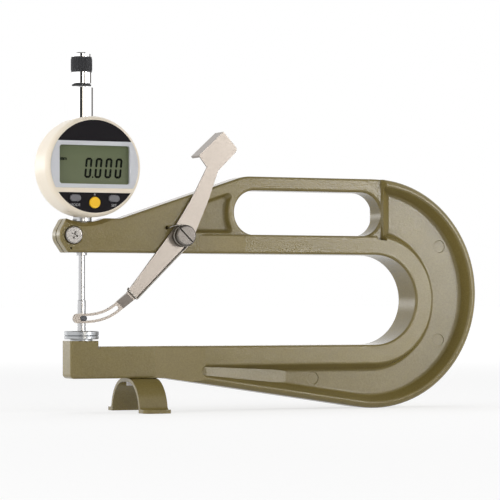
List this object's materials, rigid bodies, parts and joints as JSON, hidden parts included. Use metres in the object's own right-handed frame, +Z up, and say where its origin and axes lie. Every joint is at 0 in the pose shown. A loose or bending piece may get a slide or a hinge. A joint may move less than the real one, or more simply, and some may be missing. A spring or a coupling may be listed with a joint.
{
  "type": "digital thickness gauge",
  "caption": "Bench thickness gauge: painted U-shaped cast frame with a carrying opening, digital indicator, flat contacts, thumb lever that lifts the spindle, and a strip foot.",
  "frame": {"origin": "centre of the anvil face, on the measuring axis", "axes": "+X into the throat, away from the contacts; +Y away from the side that shows the display; +Z up, along the spindle"},
  "size_m": [0.2843, 0.065, 0.2098],
  "materials": {
    "frame_paint": "olive-grey satin paint",
    "nickel_steel": "brushed nickel-plated spring steel sheet",
    "bright_steel": "bright chromed steel",
    "lapped_steel": "hardened steel, ground and lapped",
    "screw_steel": "turned steel",
    "spring_steel": "bright spring wire",
    "housing_plastic": "cream moulded plastic",
    "fascia_black": "black printed membrane",
    "lens_grey": "light grey printed plastic",
    "window_clear": "clear plastic window",
    "lcd": "liquid crystal panel, grey-green",
    "button_grey": "grey moulded button",
    "button_yellow": "yellow moulded button",
    "board": "green circuit board laminate",
    "sensor_black": "black reader head",
    "scale_glass": "scale strip",
    "cell_steel": "nickel-plated button cell",
    "cover_plastic": "cream moulded plastic, matte",
    "stem_steel": "ground stainless steel",
    "seal_rubber": "black rubber seal",
    "grip_black": "black knurled grip"
  },
  "bodies": {
    "gauge_frame": {"frame": "frame_paint", "foot": "frame_paint", "foot_screw_left": "screw_steel", "foot_screw_right": "screw_steel", "anvil": "lapped_steel", "anvil_screw": "screw_steel", "clamp_screw": "screw_steel", "pivot_screw": "screw_steel", "pivot_washer": "screw_steel", "indicator_housing": "housing_plastic", "indicator_bezel": "housing_plastic", "top_fascia": "fascia_black", "keypad_fascia": "fascia_black", "lens_frame": "lens_grey", "display_window": "window_clear", "lcd_panel": "lcd", "circuit_board": "board", "reader_head": "sensor_black", "battery": "cell_steel", "battery_cover": "cover_plastic", "back_cover": "cover_plastic", "back_screw_1": "screw_steel", "back_screw_2": "screw_steel", "back_screw_3": "screw_steel", "back_screw_4": "screw_steel", "mounting_stem": "stem_steel", "guard_tube": "bright_steel", "tube_seal": "seal_rubber", "return_spring": "spring_steel"},
    "plunger": {"spindle": "stem_steel", "upper_contact": "lapped_steel", "lifting_sleeve": "stem_steel", "lifting_pin": "screw_steel", "measuring_scale": "scale_glass", "knob_sleeve": "bright_steel", "knob_grip": "grip_black", "knob_ring": "stem_steel", "knob_cap": "bright_steel"},
    "lever": {"lever": "nickel_steel"},
    "mode_button": {"mode_button": "button_grey"},
    "zero_button": {"zero_button": "button_yellow"},
    "set_button": {"set_button": "button_grey"}
  },
  "joints": [
    {"name": "plunger_slide", "type": "slide", "parent": "gauge_frame", "child": "plunger", "axis": [0, 0, 1], "range_m": [0, 0.025], "stiffness_N_per_m": 20, "springref_m": -0.045},
    {"name": "lever_pivot", "type": "hinge", "parent": "gauge_frame", "child": "lever", "pos_m": [0.05975, 0, 0.0584], "axis": [0, 1, 0], "range_deg": [0, 24]},
    {"name": "mode_button_press", "type": "slide", "parent": "gauge_frame", "child": "mode_button", "axis": [0, 1, 0], "range_m": [0, 0.0005], "stiffness_N_per_m": 800, "springref_m": -0.0002},
    {"name": "zero_button_press", "type": "slide", "parent": "gauge_frame", "child": "zero_button", "axis": [0, 1, 0], "range_m": [0, 0.0005], "stiffness_N_per_m": 800, "springref_m": -0.0002},
    {"name": "set_button_press", "type": "slide", "parent": "gauge_frame", "child": "set_button", "axis": [0, 1, 0], "range_m": [0, 0.0005], "stiffness_N_per_m": 800, "springref_m": -0.0002}
  ],
  "couplings": [
    {"joint": "lever_pivot", "follows": "plunger_slide", "rad_per_m": 16.736}
  ]
}
